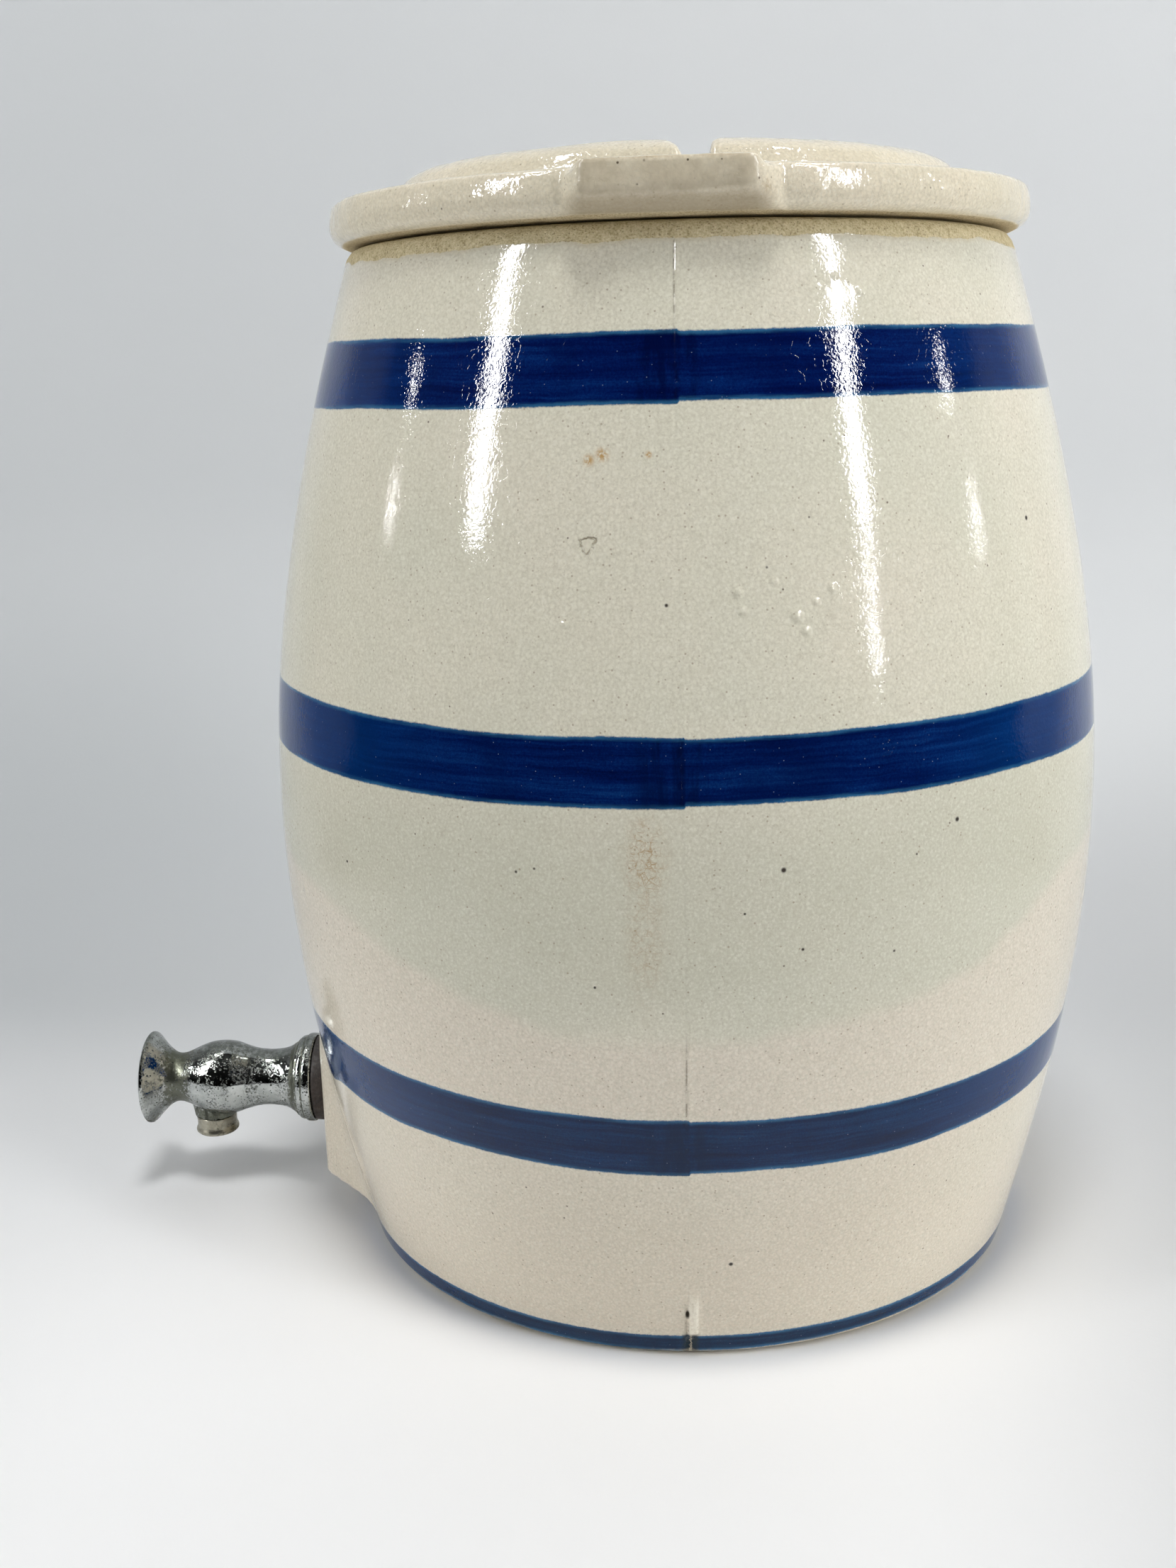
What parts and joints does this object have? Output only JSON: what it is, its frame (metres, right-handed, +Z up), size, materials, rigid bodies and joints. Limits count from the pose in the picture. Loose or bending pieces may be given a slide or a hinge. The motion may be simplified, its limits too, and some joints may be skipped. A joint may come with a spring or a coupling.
{
  "type": "water pot with tap",
  "caption": "Barrel-shaped stoneware water pot with a lift-off lid and a push-button tap low on its front.",
  "frame": {"origin": "centre of the pot's flat base, on the surface that it stands on", "axes": "+Z up along the pot's axis; -Y is the front, where the tap points; +X is the side that the picture shows"},
  "size_m": [0.266, 0.3244, 0.341],
  "materials": {
    "crock": "glossy cream glaze with cobalt blue bands, unglazed sandy rim and base",
    "lid": "glossy cream glaze",
    "tap_body": "worn bright plating on cast brass, pitted and mottled",
    "spout_tube": "dull worn brass",
    "outer_gasket": "dark brown-black rubber",
    "inner_gasket": "black rubber",
    "clamp_washer": "dull brass",
    "lock_nut": "dull brass",
    "push_button": "worn bright plating",
    "valve_stem": "turned brass",
    "valve_disc": "black rubber",
    "valve_cup": "turned brass",
    "valve_nut": "turned brass",
    "return_spring": "drawn stainless wire",
    "gland_washer": "turned brass",
    "stem_seal": "black rubber"
  },
  "bodies": {
    "pot": {"crock": "crock", "tap_body": "tap_body", "spout_tube": "spout_tube", "outer_gasket": "outer_gasket", "inner_gasket": "inner_gasket", "clamp_washer": "clamp_washer", "lock_nut": "lock_nut", "gland_washer": "gland_washer", "stem_seal": "stem_seal", "return_spring": "return_spring"},
    "lid": {"lid": "lid"},
    "plunger": {"push_button": "push_button", "valve_stem": "valve_stem", "valve_disc": "valve_disc", "valve_cup": "valve_cup", "valve_nut": "valve_nut"}
  },
  "joints": [
    {"name": "button_press", "type": "slide", "parent": "pot", "child": "plunger", "axis": [0, 1, 0], "range_m": [0, 0.003], "stiffness_N_per_m": 900, "springref_m": -0.002, "deforming": ["return_spring"]},
    {"name": "lid_lift", "type": "slide", "parent": "pot", "child": "lid", "axis": [0, 0, 1], "range_m": [0, 0.06]}
  ]
}
